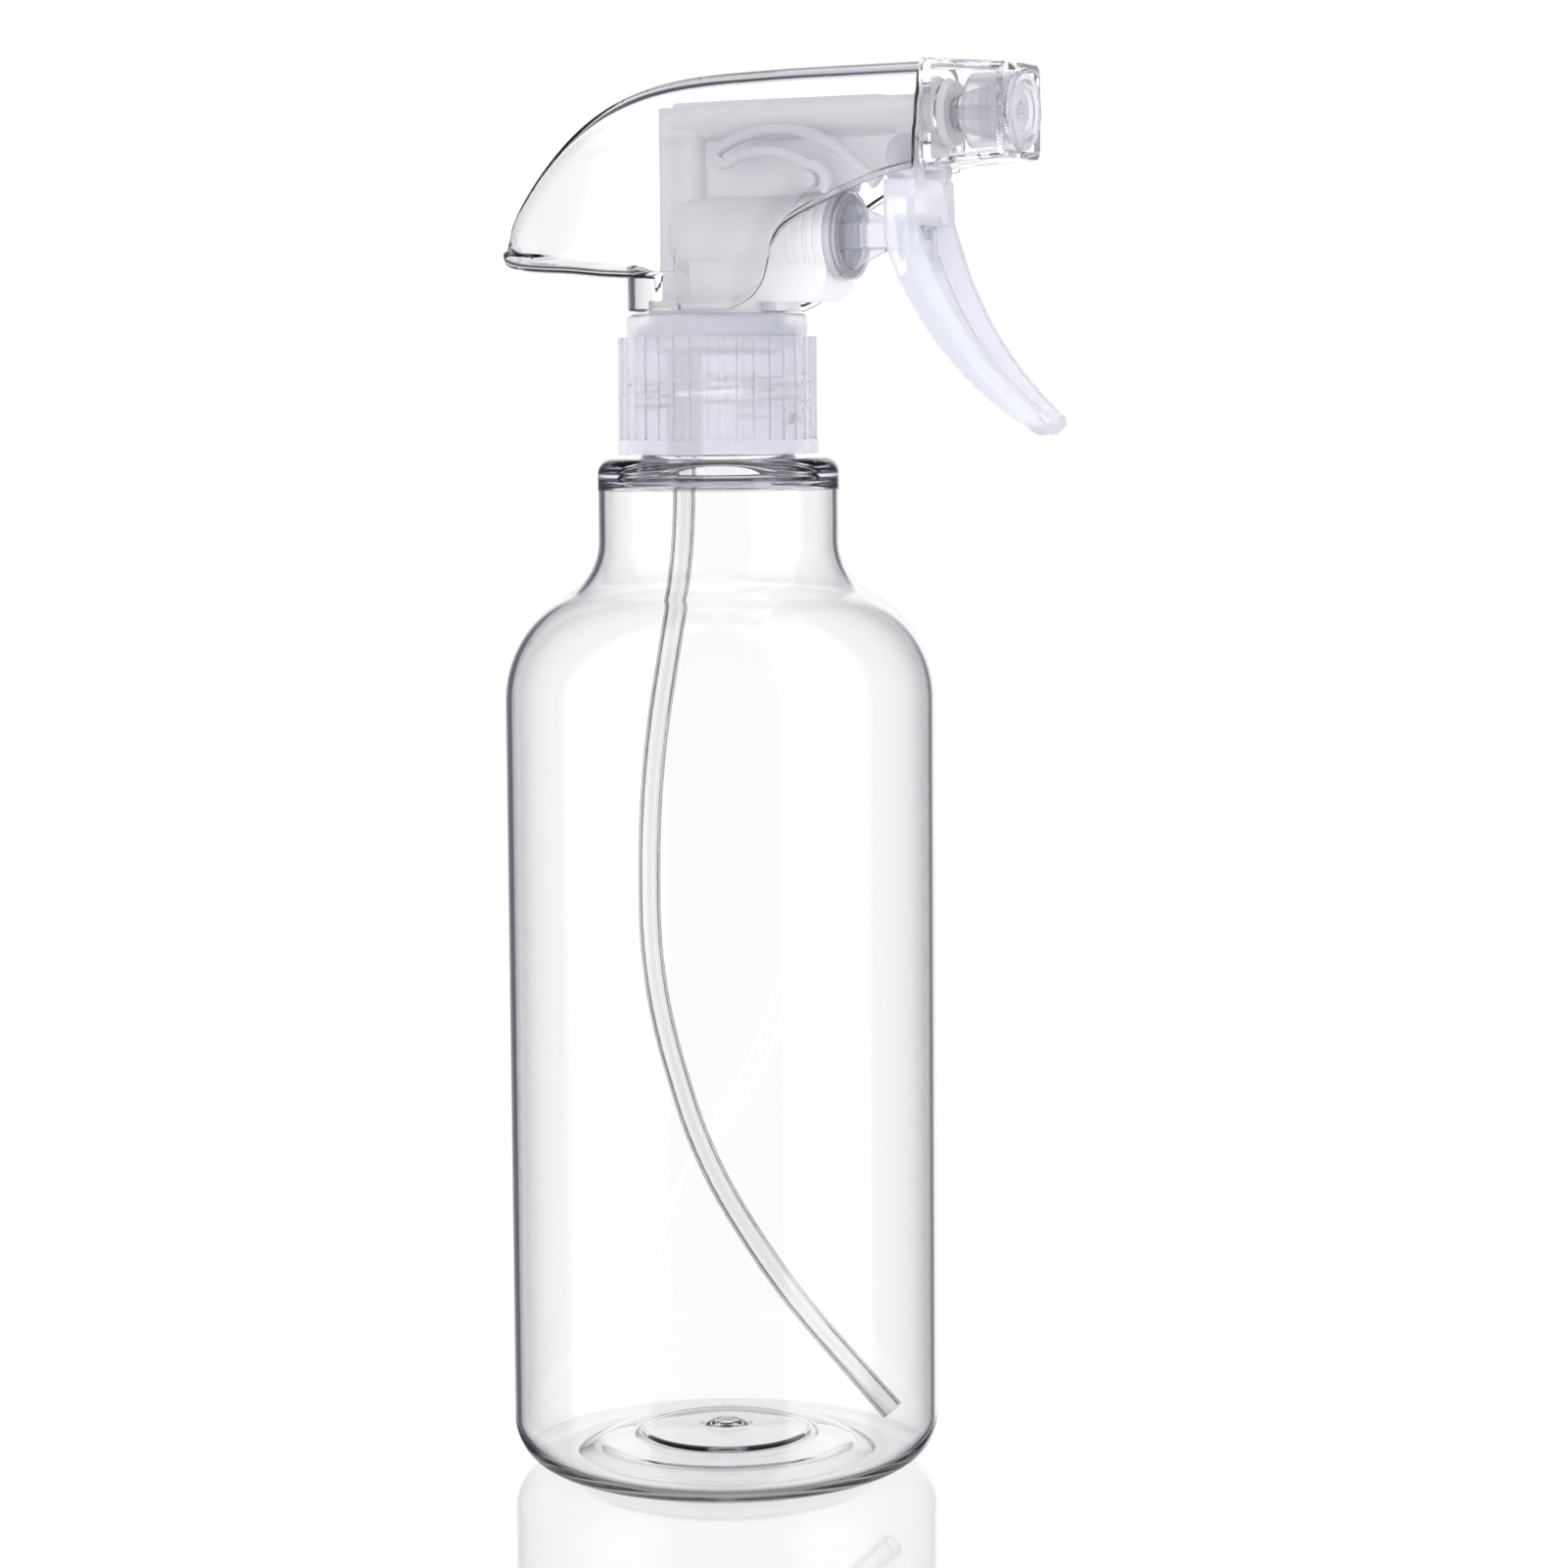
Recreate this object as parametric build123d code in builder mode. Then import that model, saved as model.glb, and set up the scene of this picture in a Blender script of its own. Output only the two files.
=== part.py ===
"""Hand mister: a clear half-litre bottle with a screw-on trigger sprayer, one solid for each piece.

The origin is on the bottle's axis, at the plane it stands on. +Z is up and +X is the way it sprays.
Everything is symmetric about the XZ plane, apart from the threads. Sizes are in millimetres.
"""

import os
from math import radians, tan

from build123d import *

# Bottle
BODY_R = 35.0                # outside of the round body
WALL = 1.0                   # bottle wall
FLOOR = 1.5                  # thickness of the bottle's floor
HEEL_R = 8.0                 # round between floor and body
PUSH_UP = 4.5                # how far the floor domes up in the middle
FOOT_R = 24.5                # inner radius of the flat ring that it stands on
SHOULDER_Z = 126.0           # where the body starts to curve in
SHOULDER_R = 19.5            # convex radius of the shoulder
THROAT_R = 10.0              # concave radius above it
SHOULDER_TURN = 61.56        # degrees that each of the two shoulder arcs turns
STEP_Z = 165.2               # flat top of the sleeve under the closure
NECK_R = 12.4                # outside of the threaded neck
NECK_BORE_R = 10.5
LIP_Z = 183.0                # top of the neck

# Screw thread of the 28 mm neck
PITCH = 4.23
THREAD_TURNS = 1.5
THREAD_Z = 171.5             # where the bead starts
THREAD_CREST_R = 13.7

# Closure
CAP_Z = 165.9
CAP_R = 15.75                # under the ribs
RIB_COUNT = 36
RIB_H = 0.35
CAP_BAND_Z = 184.6           # start of the plain upper band
CAP_BAND_R = 14.6
CAP_TOP_Z = 188.3
CAP_BORE_R = 14.0
FLANGE_R = 13.2              # the pump's flange, held down by the closure's roof
FLANGE_TOP_Z = 186.2
HUB_R = 11.0                 # the pump's round hub, through the closure's roof
HUB_TOP_Z = 190.4
GASKET_T = 1.2
PLAY = 0.1                   # axial and sliding play between pieces that turn

# Pump
COLUMN_X = -6.4              # upright channel, in line with the dip tube
COLUMN_R = 3.0
COLUMN_TOP_Z = 221.0
CHAMBER_R = 2.1
PUMP_Z = 200.3               # axis of the pump cylinder
CYLINDER_R = 6.6
BORE_R = 5.4
CYLINDER_X = (-7.0, 23.4)
DOME_R = 4.5                 # round of the cylinder's closed end
BORE_X = 1.0                 # closed end of the bore
SPRAY_Z = 218.8              # axis of the discharge tube and the nozzle
TUBE_R = 3.2
CHANNEL_R = 1.2
BARREL_X = 38.8              # front of the pump's barrel flange
SPIGOT_END_X = 42.6
VALVE_SEAT_X = 36.5
VALVE_BORE_R = 2.0

# Dip tube
DIP_R = 1.85
DIP_BORE_R = 1.2
SOCKET_R = 3.1
SOCKET_Z = 164.2             # lower end of the tube's socket
SEAT_Z = 190.0               # top of the intake plug, where the ball sits
BALL_R = 1.6
BALL_LIFT = 1.0

# Trigger
PIVOT_X = 36.3
PIVOT_Z = 212.6
PIVOT_R = 1.4
RUNNING = 0.05               # radial clearance of pins and plungers
PULL_DEG = 22.0
TRIGGER_W = 7.6              # half-width at the top
TRIGGER_TIP_W = 5.0
TRIGGER_TOP_Z = 208.6
EAR_Y = (4.0, 6.2)
LINK_X = 35.6                # pin that joins the piston rod to the trigger
LINK_R = 0.9
STROKE = (PIVOT_Z - PUMP_Z) * tan(radians(PULL_DEG))

# Nozzle
COVER_X = (39.6, 53.4)
COVER_REAR = (16.0, 16.7)    # width and height at the back
COVER_FRONT = (14.6, 14.6)
COVER_WALL = 1.2
ORIFICE_R = 6.1
NOZZLE_FACE_X = 54.3

# Shroud
SHROUD_T = 1.1
SHROUD_FRONT_X = 38.9
SKIRT_R = 14.4
SKIRT_Z = 188.8
SKIRT_TOP_Z = 194.4

SIDE = Plane.XZ
PUMP_AXIS = Axis((0, 0, PUMP_Z), (1, 0, 0))
SPRAY_AXIS = Axis((0, 0, SPRAY_Z), (1, 0, 0))

os.makedirs("parts", exist_ok=True)


def save(piece, name):
    """Label a finished piece and write its STEP file."""
    piece.part.label = name
    export_step(piece.part, f"parts/{name}.step")


def ring_profile(z_axis, *corners):
    """A closed half profile about a lengthwise axis at height z_axis, as (x, radius) corners."""
    Polygon(*[(x, z_axis + r) for x, r in corners], align=None)


def bottle_outline(inset, floor, lip):
    """Half profile of the bottle from its axis out, drawn inset inside its skin."""
    side = BODY_R - inset
    with BuildSketch() as outline:
        with BuildLine():
            dome = ThreePointArc((0, PUSH_UP + floor), (14, 0.72 * PUSH_UP + floor), (FOOT_R, floor))
            foot = Line(dome @ 1, (BODY_R - HEEL_R, floor))
            heel = ThreePointArc(
                foot @ 1,
                (side - 0.293 * (HEEL_R - inset), HEEL_R - 0.707 * (HEEL_R - floor)),
                (side, HEEL_R),
            )
            body = Line(heel @ 1, (side, SHOULDER_Z))
            shoulder = JernArc(body @ 1, (0, 1), SHOULDER_R - inset, SHOULDER_TURN)
            throat = JernArc(shoulder @ 1, shoulder % 1, THROAT_R + inset, -SHOULDER_TURN)
            sleeve_r = (throat @ 1).X
            step_z = STEP_Z - 1.6 * inset
            corner = 1.6 - 0.8 * inset
            sleeve = Line(throat @ 1, (sleeve_r, step_z - corner))
            bend = JernArc(sleeve @ 1, (0, 1), corner, 90)
            neck_r = NECK_R if inset == 0 else NECK_BORE_R
            step = Line(bend @ 1, (neck_r, step_z))
            Polyline(step @ 1, (neck_r, lip), (0, lip), dome @ 0)
        make_face()
    return outline.sketch


def thread_bead(root_r, crest_r, root_w, crest_w, start_z):
    """One bead of the neck thread, swept round the Z axis."""
    with BuildPart() as bead:
        with BuildLine() as path:
            Helix(pitch=PITCH, height=PITCH * THREAD_TURNS, radius=root_r, center=(0, 0, start_z))
        with BuildSketch(Plane(origin=path.line @ 0, x_dir=(1, 0, 0), z_dir=path.line % 0)):
            Polygon(
                (0, -root_w / 2),
                (crest_r - root_r, -crest_w / 2),
                (crest_r - root_r, crest_w / 2),
                (0, root_w / 2),
                align=None,
            )
        sweep(path=path.line, is_frenet=True)
    return bead.part


# The bottle, blown in one piece with its neck
neck_bead = thread_bead(NECK_R - 0.15, THREAD_CREST_R, 2.4, 1.0, THREAD_Z)
with BuildPart() as bottle:
    with BuildSketch(SIDE):
        add(bottle_outline(0, 0, LIP_Z))
    revolve(axis=Axis.Z)
    with BuildSketch(SIDE):
        add(bottle_outline(WALL, FLOOR, LIP_Z + 1))
    revolve(axis=Axis.Z, mode=Mode.SUBTRACT)
    add(neck_bead)
save(bottle, "bottle")

# The closure: a ribbed skirt, a plain band and a roof with a hole for the pump's hub
cap_bead = thread_bead(CAP_BORE_R + 0.15, 12.8, 2.0, 0.9, THREAD_Z + PITCH / 2)
with BuildPart() as closure:
    with BuildSketch(Plane.XY.offset(CAP_Z)):
        Circle(CAP_R + RIB_H + 0.15)
    extrude(amount=2.3)
    with BuildSketch(Plane.XY.offset(CAP_Z)):
        Circle(CAP_R)
        with PolarLocations(CAP_R, RIB_COUNT):
            Rectangle(2 * RIB_H, 0.7)
    extrude(amount=CAP_BAND_Z - CAP_Z)
    with BuildSketch(Plane.XY.offset(CAP_BAND_Z)):
        Circle(CAP_BAND_R)
    extrude(amount=CAP_TOP_Z - CAP_BAND_Z)
    fillet(closure.faces().sort_by(Axis.Z)[-1].edges(), 0.9)
    with BuildSketch(Plane.XY.offset(CAP_Z)):
        Circle(CAP_BORE_R)
    extrude(amount=LIP_Z + GASKET_T - CAP_Z, mode=Mode.SUBTRACT)
    with BuildSketch(Plane.XY.offset(LIP_Z)):
        Circle(FLANGE_R + 0.3)
    extrude(amount=FLANGE_TOP_Z + PLAY - LIP_Z, mode=Mode.SUBTRACT)
    with BuildSketch(Plane.XY.offset(FLANGE_TOP_Z)):
        Circle(HUB_R + 0.3)
    extrude(amount=CAP_TOP_Z - FLANGE_TOP_Z, mode=Mode.SUBTRACT)
    add(cap_bead)
save(closure, "closure")

with BuildPart() as neck_gasket:
    with BuildSketch(Plane.XY.offset(LIP_Z)):
        Circle(FLANGE_R - 0.2)
        Circle(NECK_BORE_R - 0.2, mode=Mode.SUBTRACT)
    extrude(amount=GASKET_T)
save(neck_gasket, "neck_gasket")

# The intake retainer: a disc under the pump, with the plug that holds the ball's seat above it
# and the dip tube's socket below
with BuildPart() as intake_retainer:
    with BuildSketch(Plane.XY.offset(LIP_Z - 1.2)):
        Circle(NECK_BORE_R - 0.6)
    extrude(amount=1.2 + GASKET_T)
    with BuildSketch(Plane.XY.offset(SOCKET_Z)):
        with Locations((COLUMN_X, 0)):
            Circle(SOCKET_R)
    extrude(amount=SEAT_Z - SOCKET_Z)
    with BuildSketch(Plane.XY.offset(SOCKET_Z)):
        with Locations((COLUMN_X, 0)):
            Circle(DIP_R)
    extrude(amount=12, mode=Mode.SUBTRACT)
    with BuildSketch(Plane.XY.offset(SOCKET_Z)):
        with Locations((COLUMN_X, 0)):
            Circle(CHANNEL_R)
    extrude(amount=SEAT_Z - SOCKET_Z, mode=Mode.SUBTRACT)
    with BuildSketch(Plane.XY.offset(LIP_Z - 1.2)):
        with PolarLocations(6.6, 3, start_angle=-60, angular_range=120, endpoint=True):
            Circle(1.4)
    extrude(amount=1.2 + GASKET_T, mode=Mode.SUBTRACT)
save(intake_retainer, "intake_retainer")

with BuildPart() as inlet_ball:
    with Locations((COLUMN_X, 0, SEAT_Z + (BALL_R**2 - CHANNEL_R**2) ** 0.5 + 0.02)):
        Sphere(BALL_R)
save(inlet_ball, "inlet_ball")

# The cage that stops the ball: a ring with three fingers in its hole
CAGE_Z = SEAT_Z + 1.06 + BALL_R + BALL_LIFT + 0.1
with BuildPart() as ball_cage:
    with BuildSketch(Plane.XY.offset(CAGE_Z)):
        with Locations((COLUMN_X, 0)):
            Circle(CHAMBER_R)
            Circle(1.5, mode=Mode.SUBTRACT)
            with PolarLocations(1.0, 3):
                Rectangle(1.6, 0.6)
    extrude(amount=0.9)
save(ball_cage, "ball_cage")

# The dip tube: straight in its socket, bowed on its way down, cut off near the bottle's heel
DIP_ROUTE = [  # x, z
    (-6.4, 176.2), (-6.3, 150.4), (-13.5, 111.8), (-13.6, 78.3), (-4.0, 49.8), (10.4, 30.1), (30.0, 11.2)
]


def bend_radii(route):
    """The largest radius that the two runs at each corner leave room for."""
    points = [Vector(x, 0, z) for x, z in route]
    radii = []
    for before, corner, after in zip(points, points[1:], points[2:]):
        turn = (corner - before).get_angle(after - corner)
        shorter = min((corner - before).length, (after - corner).length)
        radii.append(0.45 * shorter / tan(radians(turn / 2)))
    return radii


print("dip tube bend radii", [round(r, 1) for r in bend_radii(DIP_ROUTE)])
with BuildPart() as dip_tube:
    with BuildLine(SIDE) as dip_path:
        FilletPolyline(*DIP_ROUTE, radius=bend_radii(DIP_ROUTE))
    with BuildSketch(Plane.XY.offset(DIP_ROUTE[0][1])):
        with Locations((COLUMN_X, 0)):
            Circle(DIP_R)
            Circle(DIP_BORE_R, mode=Mode.SUBTRACT)
    sweep(path=dip_path.line)
save(dip_tube, "dip_tube")

# The pump body: hub and flange, upright column, cylinder, discharge tube, pivot block and barrel
with BuildPart() as pump_body:
    with BuildSketch(Plane.XY.offset(LIP_Z + GASKET_T)):
        Circle(FLANGE_R)
    extrude(amount=FLANGE_TOP_Z - LIP_Z - GASKET_T)
    with BuildSketch(Plane.XY.offset(FLANGE_TOP_Z)):
        Circle(HUB_R)
    extrude(amount=HUB_TOP_Z - FLANGE_TOP_Z)
    with BuildSketch(Plane.XY.offset(HUB_TOP_Z)):
        with Locations((COLUMN_X - COLUMN_R, 0)):
            RectangleRounded(8.2, 2 * COLUMN_R, 2.4, align=(Align.MIN, Align.CENTER))
    extrude(amount=COLUMN_TOP_Z - HUB_TOP_Z)
    # Cylinder with a domed back
    with BuildSketch(SIDE):
        with BuildLine():
            dome = JernArc((CYLINDER_X[0], PUMP_Z + CYLINDER_R - DOME_R), (0, 1), DOME_R, -90)
            rim = (CYLINDER_X[1], PUMP_Z + CYLINDER_R)
            Polyline(dome @ 1, rim, (CYLINDER_X[1], PUMP_Z), (CYLINDER_X[0], PUMP_Z), dome @ 0)
        make_face()
    revolve(axis=PUMP_AXIS)
    # Ring ribs round the cylinder's front half
    for rib_x in (16.0, 17.8, 19.6, 21.4):
        with BuildSketch(Plane.YZ.offset(rib_x)):
            with Locations((0, PUMP_Z)):
                Circle(CYLINDER_R + 0.4)
        extrude(amount=0.8)
    # Vent housing under the cylinder
    with BuildSketch(SIDE):
        with BuildLine():
            chin = Line((-2, 190.0), (18.0, 190.0))
            lip = ThreePointArc(chin @ 1, (20.9, 191.2), (22.2, 194.0))
            Polyline(lip @ 1, (22.2, 198), (-2, 198), chin @ 0)
        make_face()
    extrude(amount=5.4, both=True)
    # Post between the housing and the closure
    with BuildSketch(Plane.XY.offset(CAP_TOP_Z + 0.3)):
        with Locations((11.6, 0)):
            RectangleRounded(3.2, 8.4, 0.6)
    extrude(amount=2.5)
    # Web that ties the cylinder to the discharge tube
    with BuildSketch(SIDE):
        Polygon((-6, 203), (12, 203), (31, 211), (37, 211), (37, SPRAY_Z), (-6, SPRAY_Z), align=None)
    extrude(amount=0.9, both=True)
    # Block that carries the trigger's pivot
    with BuildSketch(SIDE):
        Polygon((33.9, 210.2), (BARREL_X, 210.2), (BARREL_X, SPRAY_Z), (33.9, SPRAY_Z), align=None)
    extrude(amount=EAR_Y[0] - PLAY, both=True)
    with BuildSketch(Plane.YZ.offset(COLUMN_X)):
        with Locations((0, SPRAY_Z)):
            Circle(TUBE_R)
    extrude(amount=BARREL_X - COLUMN_X)
    # Barrel flange, spigot and the lip that holds the nozzle on
    with BuildSketch(SIDE):
        ring_profile(
            SPRAY_Z,
            (BARREL_X - 1.2, 0),
            (BARREL_X - 1.2, 5.8),
            (BARREL_X, 5.8),
            (BARREL_X, 4.8),
            (41.5, 4.8),
            (41.5, 5.4),
            (SPIGOT_END_X, 5.0),
            (SPIGOT_END_X, 0),
        )
    revolve(axis=SPRAY_AXIS)
    # The flange is cut back beside the block, where the trigger's ears turn
    for ear_plane in (SIDE.offset(EAR_Y[0] - PLAY), SIDE.offset(-8)):
        with BuildSketch(ear_plane):
            Polygon((36, 211), (BARREL_X, 211), (BARREL_X, 215.8), (36, 215.8), align=None)
        extrude(amount=8 - EAR_Y[0] + PLAY, mode=Mode.SUBTRACT)
    # Posts that the bow springs hook on
    with BuildSketch(SIDE):
        with Locations((19.7, 208.9)):
            Circle(1.2)
    extrude(amount=6.4, both=True)
    # Hollows: intake plug, ball chamber, riser, port, bore, discharge channel, valve bore, pivot
    with BuildSketch(Plane.XY.offset(LIP_Z)):
        with Locations((COLUMN_X, 0)):
            Circle(SOCKET_R)
    extrude(amount=SEAT_Z - LIP_Z, mode=Mode.SUBTRACT)
    with BuildSketch(Plane.XY.offset(SEAT_Z)):
        with Locations((COLUMN_X, 0)):
            Circle(CHAMBER_R)
    extrude(amount=CAGE_Z + 0.9 - SEAT_Z, mode=Mode.SUBTRACT)
    with BuildSketch(Plane.XY.offset(SEAT_Z)):
        with Locations((COLUMN_X, 0)):
            Circle(CHANNEL_R)
    extrude(amount=SPRAY_Z - SEAT_Z, mode=Mode.SUBTRACT)
    with BuildSketch(SIDE):
        ring_profile(PUMP_Z, (BORE_X, 0), (BORE_X, BORE_R), (24, BORE_R), (24, 0))
    revolve(axis=PUMP_AXIS, mode=Mode.SUBTRACT)
    with BuildSketch(Plane.YZ.offset(COLUMN_X)):
        with Locations((0, PUMP_Z - 2)):
            Circle(CHANNEL_R)
    extrude(amount=BORE_X - COLUMN_X + 0.5, mode=Mode.SUBTRACT)
    with BuildSketch(SIDE):
        ring_profile(
            SPRAY_Z,
            (COLUMN_X, 0),
            (COLUMN_X, CHANNEL_R),
            (VALVE_SEAT_X, CHANNEL_R),
            (VALVE_SEAT_X, VALVE_BORE_R),
            (SPIGOT_END_X + 1, VALVE_BORE_R),
            (SPIGOT_END_X + 1, 0),
        )
    revolve(axis=SPRAY_AXIS, mode=Mode.SUBTRACT)
    with BuildSketch(SIDE):
        with Locations((PIVOT_X, PIVOT_Z)):
            Circle(PIVOT_R + RUNNING)
    extrude(amount=EAR_Y[0], both=True, mode=Mode.SUBTRACT)
save(pump_body, "pump_body")

# The discharge valve: a small mushroom that lifts off its seat along the spray
with BuildPart() as discharge_valve:
    with BuildSketch(SIDE):
        ring_profile(
            SPRAY_Z,
            (VALVE_SEAT_X + 0.03, 0),
            (VALVE_SEAT_X + 0.03, VALVE_BORE_R - RUNNING),
            (37.6, VALVE_BORE_R - RUNNING),
            (37.6, 0.9),
            (39.8, 0.9),
            (39.8, 0),
        )
    revolve(axis=SPRAY_AXIS)
save(discharge_valve, "discharge_valve")

# The piston: head, stem, front plate, rod with two thin webs, and the pin that the trigger pulls
with BuildPart() as piston:
    with BuildSketch(SIDE):
        ring_profile(
            PUMP_Z,
            (9.0, 0),
            (9.0, 4.9),
            (10.4, 4.9),
            (10.4, 3.4),
            (13.4, 3.4),
            (13.4, 4.9),
            (14.4, 4.9),
            (14.4, 2.8),
            (21.8, 2.8),
            (21.8, 5.1),
            (22.8, 5.1),
            (22.8, 0),
        )
    revolve(axis=PUMP_AXIS)
    with BuildSketch(SIDE):
        Polygon(
            (22.8, PUMP_Z - 5.2),
            (24.2, PUMP_Z - 5.2),
            (30.2, PUMP_Z - 2.6),
            (30.2, PUMP_Z + 2.6),
            (24.2, PUMP_Z + 5.2),
            (22.8, PUMP_Z + 5.2),
            align=None,
        )
    extrude(amount=0.45, both=True)
    with BuildSketch(Plane.YZ.offset(22.8)):
        with Locations((0, PUMP_Z)):
            RectangleRounded(4.2, 4.4, 0.8)
    extrude(amount=LINK_X - 22.8)
    with BuildSketch(SIDE):
        with Locations((LINK_X, PUMP_Z)):
            Circle(LINK_R)
    extrude(amount=EAR_Y[0] - PLAY, both=True)
save(piston, "piston")

with BuildPart() as piston_seal:
    with BuildSketch(SIDE):
        ring_profile(
            PUMP_Z,
            (10.4, 3.4),
            (10.4, BORE_R - RUNNING),
            (11.0, BORE_R - RUNNING),
            (11.6, 4.9),
            (12.4, 4.9),
            (13.0, BORE_R - RUNNING),
            (13.4, BORE_R - RUNNING),
            (13.4, 3.4),
        )
    revolve(axis=PUMP_AXIS)
save(piston_seal, "piston_seal")

# The ring snapped on the cylinder's mouth, which keeps the piston in
with BuildPart() as piston_guide:
    with BuildSketch(SIDE):
        ring_profile(
            PUMP_Z,
            (22.4, CYLINDER_R),
            (22.4, CYLINDER_R + 0.5),
            (24.4, CYLINDER_R + 0.3),
            (24.4, BORE_R),
            (CYLINDER_X[1], BORE_R),
            (CYLINDER_X[1], CYLINDER_R),
        )
    revolve(axis=PUMP_AXIS)
save(piston_guide, "piston_guide")


def make_bow_spring(first_y):
    """A flat plastic hairpin beside the pump: hooked on a post, its free leaf pushing the trigger."""
    with BuildPart() as spring:
        with BuildSketch(SIDE.offset(first_y)):
            with BuildLine():
                hook = ThreePointArc((21.6, 207.2), (22.2, 209.6), (19.4, 211.2))
                inner = ThreePointArc(hook @ 1, (13.4, 213.5), (5.6, 212.4))
                tail = ThreePointArc(inner @ 1, (3.5, 212.1), (2.9, 213.8))
                outer = ThreePointArc(tail @ 1, (12.4, 216.9), (25.8, 212.9))
                Line(outer @ 1, (31.6, 208.8))
            trace(line_width=1.2)
            with Locations((31.2, 208.4)):
                Circle(1.3)
        extrude(amount=EAR_Y[1] - EAR_Y[0] - 2 * PLAY)
    return spring


bow_spring_right = make_bow_spring(EAR_Y[0] + PLAY)
save(bow_spring_right, "bow_spring_right")
bow_spring_left = make_bow_spring(-EAR_Y[1] + PLAY)
save(bow_spring_left, "bow_spring_left")


def trigger_side(dx, dz):
    """The trigger's side view below its ears, moved by dx and dz."""
    with BuildSketch() as outline:
        with BuildLine():
            back = Line((33.3 + dx, TRIGGER_TOP_Z + dz), (33.4 + dx, 199.5 + dz))
            belly = ThreePointArc(back @ 1, (41.0 + dx, 184.0 + dz), (55.9 + dx, 170.2 + dz))
            tip = ThreePointArc(belly @ 1, (58.9 + dx, 169.4 + dz), (58.4 + dx, 171.9 + dz))
            front = ThreePointArc(tip @ 1, (45.6 + dx, 186.4 + dz), (38.7 + dx, 202.0 + dz))
            Polyline(front @ 1, (38.4 + dx, TRIGGER_TOP_Z + dz), back @ 0)
        make_face()
    return outline.sketch


def trigger_front(inset):
    """The trigger's front view, tapering to a rounded tip, drawn inset inside its edge."""
    wide = TRIGGER_W - inset
    narrow = TRIGGER_TIP_W - inset
    with BuildSketch() as outline:
        with BuildLine():
            left = Polyline((-wide, TRIGGER_TOP_Z), (-wide, 198.0), (-narrow, 173.0 + inset))
            round_tip = ThreePointArc(left @ 1, (0, 168.6 + 1.5 * inset), (narrow, 173.0 + inset))
            Polyline(round_tip @ 1, (wide, 198.0), (wide, TRIGGER_TOP_Z), left @ 0)
        make_face()
    return outline.sketch


# The grooved front of the trigger, cut out of its lower part
with BuildPart() as finger_groove:
    with BuildSketch(SIDE):
        add(trigger_side(2.3, 0.9))
    extrude(amount=TRIGGER_W, both=True)
    with BuildSketch(Plane.YZ):
        add(trigger_front(1.5))
    extrude(amount=62, mode=Mode.INTERSECT)
    split(bisect_by=Plane.XY.offset(201.5), keep=Keep.BOTTOM)

# The trigger: curved finger lever, two ears with inward pins, and lugs round the piston's pin
with BuildPart() as trigger:
    with BuildSketch(SIDE):
        add(trigger_side(0, 0))
    extrude(amount=TRIGGER_W, both=True)
    with BuildSketch(Plane.YZ):
        add(trigger_front(0))
    extrude(amount=62, mode=Mode.INTERSECT)
    add(finger_groove.part, mode=Mode.SUBTRACT)
    with BuildSketch(SIDE):
        Polygon((31, 206.0), (36.8, 206.0), (36.8, 194.5), (31, 191.0), align=None)
    extrude(amount=TRIGGER_W - 1.6, both=True, mode=Mode.SUBTRACT)
    for ear_plane in (SIDE.offset(EAR_Y[0]), SIDE.offset(-EAR_Y[1])):
        with BuildSketch(ear_plane):
            with Locations((PIVOT_X, PIVOT_Z)):
                Circle(2.9)
            Polygon((33.4, 208.0), (38.5, 208.0), (39.1, 212.0), (33.5, 212.0), align=None)
        extrude(amount=EAR_Y[1] - EAR_Y[0])
    for pin_plane in (SIDE.offset(1.2), SIDE.offset(-EAR_Y[0])):
        with BuildSketch(pin_plane):
            with Locations((PIVOT_X, PIVOT_Z)):
                Circle(PIVOT_R)
        extrude(amount=EAR_Y[0] - 1.2)
    for lug_plane in (SIDE.offset(2.5), SIDE.offset(-4.0)):
        with BuildSketch(lug_plane):
            Polygon((33.8, 203.2), (37.2, 203.2), (37.2, 196.4), (34.6, 196.4), align=None)
            with Locations((LINK_X, PUMP_Z - 0.6)):
                SlotCenterToCenter(1.6, 2 * LINK_R + 0.5, rotation=90, mode=Mode.SUBTRACT)
        extrude(amount=1.5)
save(trigger, "trigger")

# The swirl insert: a stepped cone on a short stem, plugged in the spigot
with BuildPart() as swirl_insert:
    with BuildSketch(SIDE):
        with BuildLine():
            Polyline(
                (41.0, SPRAY_Z),
                (41.0, SPRAY_Z + VALVE_BORE_R),
                (SPIGOT_END_X, SPRAY_Z + VALVE_BORE_R),
                (SPIGOT_END_X, SPRAY_Z + 2.6),
                (50.0, SPRAY_Z + 4.0),
                (50.0, SPRAY_Z + 4.6),
                (52.4, SPRAY_Z + 4.6),
                (52.4, SPRAY_Z),
                close=True,
            )
        make_face()
    revolve(axis=SPRAY_AXIS)
    for step in range(5):
        with BuildSketch(Plane.YZ.offset(43.4 + 1.4 * step)):
            with Locations((0, SPRAY_Z)):
                Circle(3.0 + 0.32 * step)
        extrude(amount=0.6)
    with BuildSketch(Plane.YZ.offset(40.9)):
        with Locations((0, SPRAY_Z)):
            Circle(0.8)
    extrude(amount=12, mode=Mode.SUBTRACT)
    with BuildSketch(SIDE):
        ring_profile(SPRAY_Z, (50.8, 4.1), (50.8, 4.7), (51.6, 4.7), (51.6, 4.1))
    revolve(axis=SPRAY_AXIS, mode=Mode.SUBTRACT)
save(swirl_insert, "swirl_insert")

with BuildPart() as nozzle_seal:
    with BuildSketch(SIDE):
        ring_profile(SPRAY_Z, (50.8, 4.1), (50.8, 4.62), (51.6, 4.62), (51.6, 4.1))
    revolve(axis=SPRAY_AXIS)
save(nozzle_seal, "nozzle_seal")

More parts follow.
